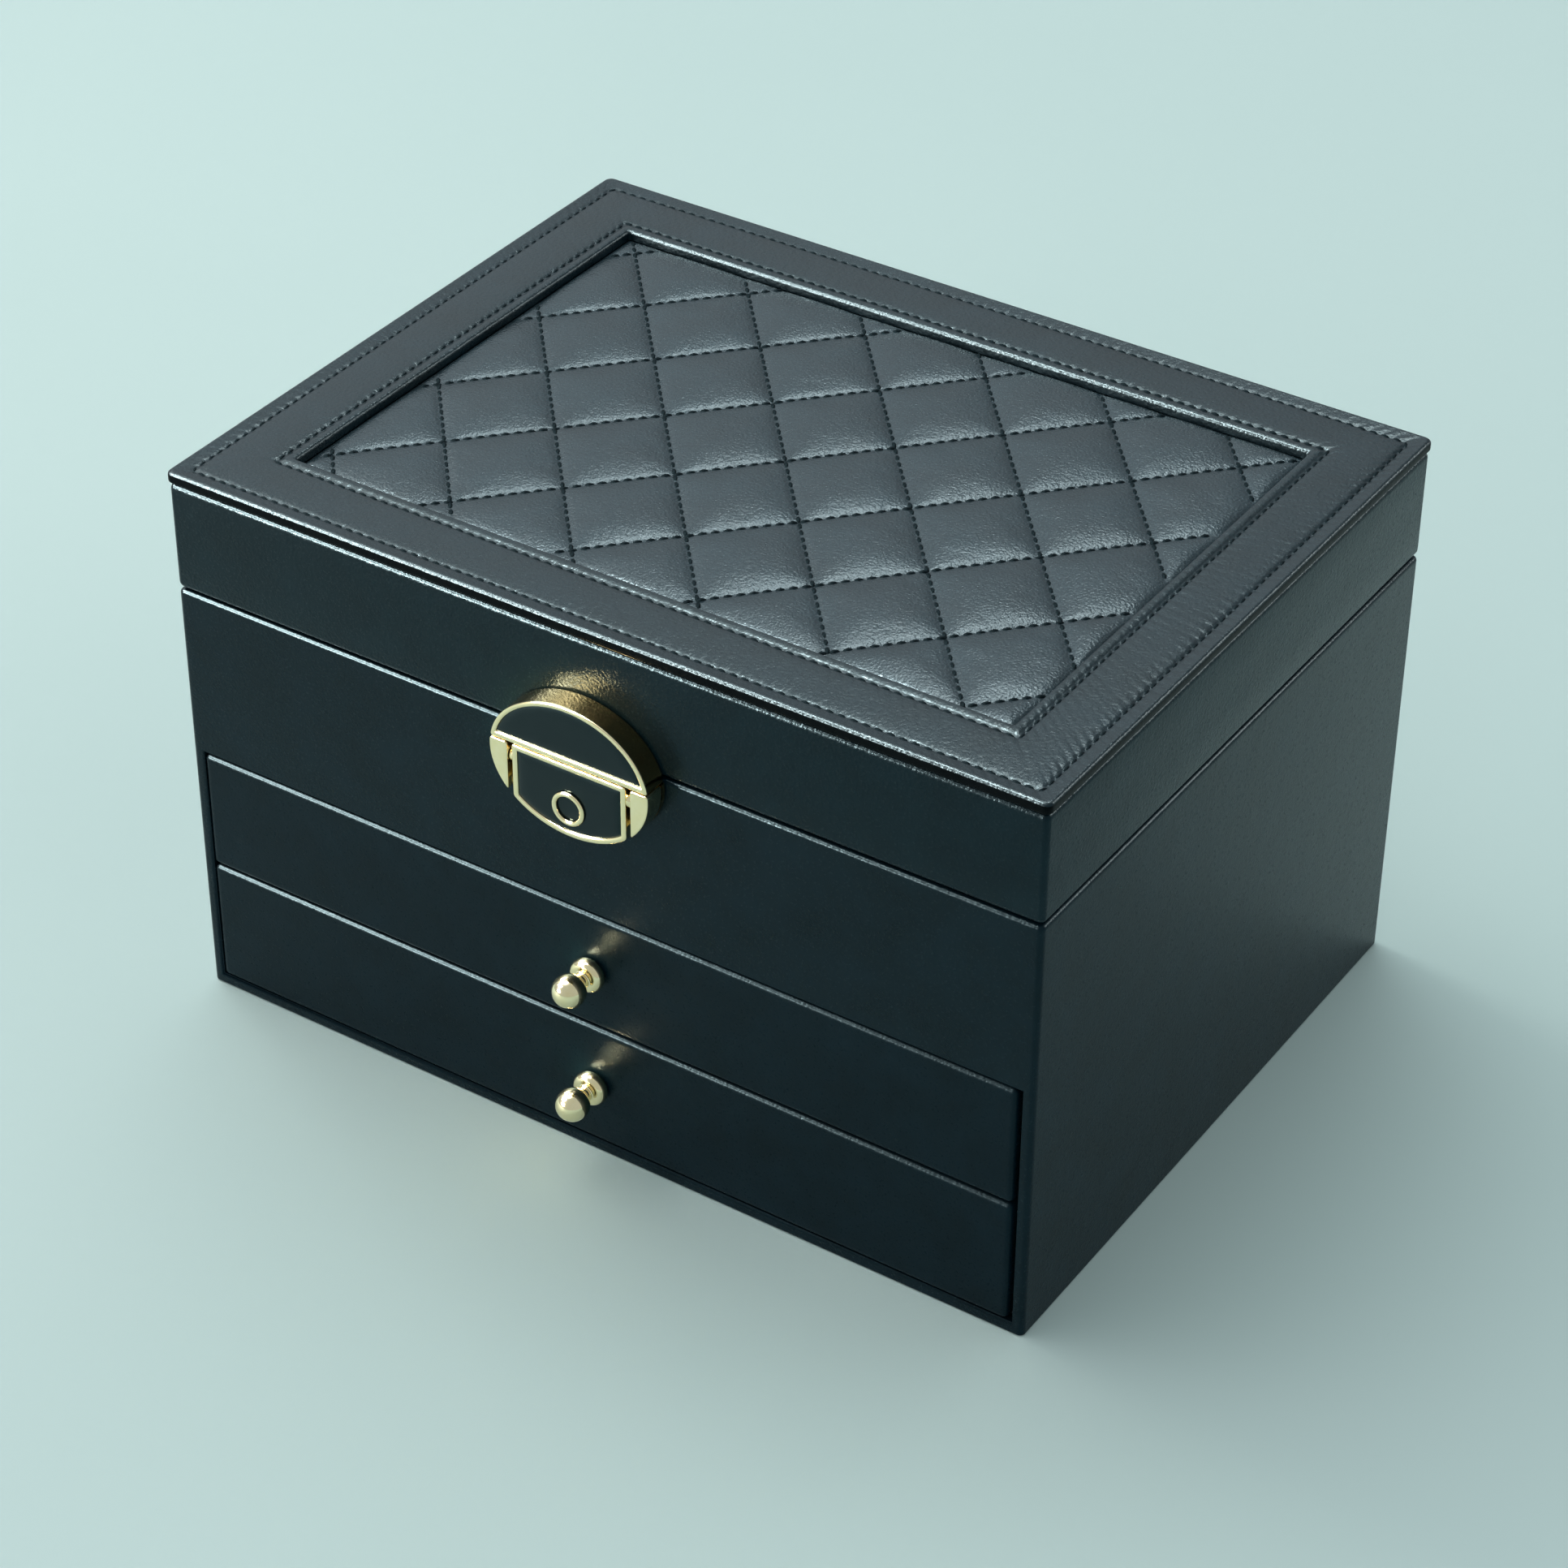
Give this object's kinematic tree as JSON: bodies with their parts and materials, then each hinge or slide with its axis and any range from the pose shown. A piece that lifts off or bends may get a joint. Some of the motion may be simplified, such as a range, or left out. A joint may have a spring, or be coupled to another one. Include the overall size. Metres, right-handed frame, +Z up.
{
  "type": "jewelry box with drawers",
  "caption": "Leather-covered jewelry box with a hinged quilted lid and mirror, a divided tray with ring rolls, drawers with ball knobs and an oval press latch.",
  "frame": {"origin": "centre of the underside of the bottom board, on the surface the box stands on", "axes": "+Z up, +X to the right seen from the front, -Y towards the front with the knobs and the latch"},
  "size_m": [0.2608, 0.2119, 0.164],
  "materials": {
    "case_leather": "satin",
    "border_leather": "satin",
    "quilt_leather": "satin",
    "gold_metal": "polished",
    "black_enamel": "gloss",
    "velvet": "matte",
    "steel": "satin",
    "mirror_glass": "polished"
  },
  "bodies": {
    "case": {"side_wall_left": "case_leather", "side_wall_right": "case_leather", "back_wall": "case_leather", "front_band_panel": "case_leather", "bottom_board": "case_leather", "drawer_shelf": "velvet", "tray_floor": "velvet", "tray_divider_long": "velvet", "tray_divider_left": "velvet", "tray_divider_right": "velvet", "ring_bed": "velvet", "ring_roll_1": "velvet", "ring_roll_2": "velvet", "ring_roll_3": "velvet", "ring_roll_4": "velvet", "ring_roll_5": "velvet", "ring_roll_6": "velvet", "latch_base_plate": "gold_metal", "latch_ear_left": "gold_metal", "latch_ear_right": "gold_metal", "latch_pin": "gold_metal", "latch_spring": "steel", "hinge_case_leaf_left": "gold_metal", "hinge_case_leaf_right": "gold_metal", "hinge_pin_left": "steel", "hinge_pin_right": "steel"},
    "lid": {"lid_wall_left": "case_leather", "lid_wall_right": "case_leather", "lid_wall_front": "case_leather", "lid_wall_back": "case_leather", "lid_border_front": "border_leather", "lid_border_back": "border_leather", "lid_border_left": "border_leather", "lid_border_right": "border_leather", "lid_top_board": "case_leather", "lid_lining_panel": "velvet", "mirror": "mirror_glass", "quilted_pad": "quilt_leather", "half_moon_housing": "gold_metal", "half_moon_inlay": "black_enamel", "hinge_lid_leaf_left": "gold_metal", "hinge_lid_leaf_right": "gold_metal"},
    "drawer_upper": {"drawer_upper_front": "case_leather", "drawer_upper_base": "velvet", "drawer_upper_side_left": "velvet", "drawer_upper_side_right": "velvet", "drawer_upper_back": "velvet", "drawer_upper_divider": "velvet", "drawer_upper_knob": "gold_metal", "drawer_upper_knob_screw": "steel"},
    "drawer_lower": {"drawer_lower_front": "case_leather", "drawer_lower_base": "velvet", "drawer_lower_side_left": "velvet", "drawer_lower_side_right": "velvet", "drawer_lower_back": "velvet", "drawer_lower_knob": "gold_metal", "drawer_lower_knob_screw": "steel"},
    "press_button": {"latch_flap": "gold_metal", "flap_inlay": "black_enamel", "emblem_ring": "gold_metal"}
  },
  "joints": [
    {"name": "lid_hinge", "type": "hinge", "parent": "case", "child": "lid", "pos_m": [0, 0.0988, 0.12875], "axis": [-1, 0, 0], "range_deg": [0, 95]},
    {"name": "drawer_upper_slide", "type": "slide", "parent": "case", "child": "drawer_upper", "axis": [0, -1, 0], "range_m": [0, 0.14]},
    {"name": "drawer_lower_slide", "type": "slide", "parent": "case", "child": "drawer_lower", "axis": [0, -1, 0], "range_m": [0, 0.14]},
    {"name": "latch_press", "type": "hinge", "parent": "case", "child": "press_button", "pos_m": [0, -0.1023, 0.1235], "axis": [1, 0, 0], "range_deg": [0, 8], "stiffness_Nm_per_rad": 0.4, "springref_deg": -2.86}
  ]
}
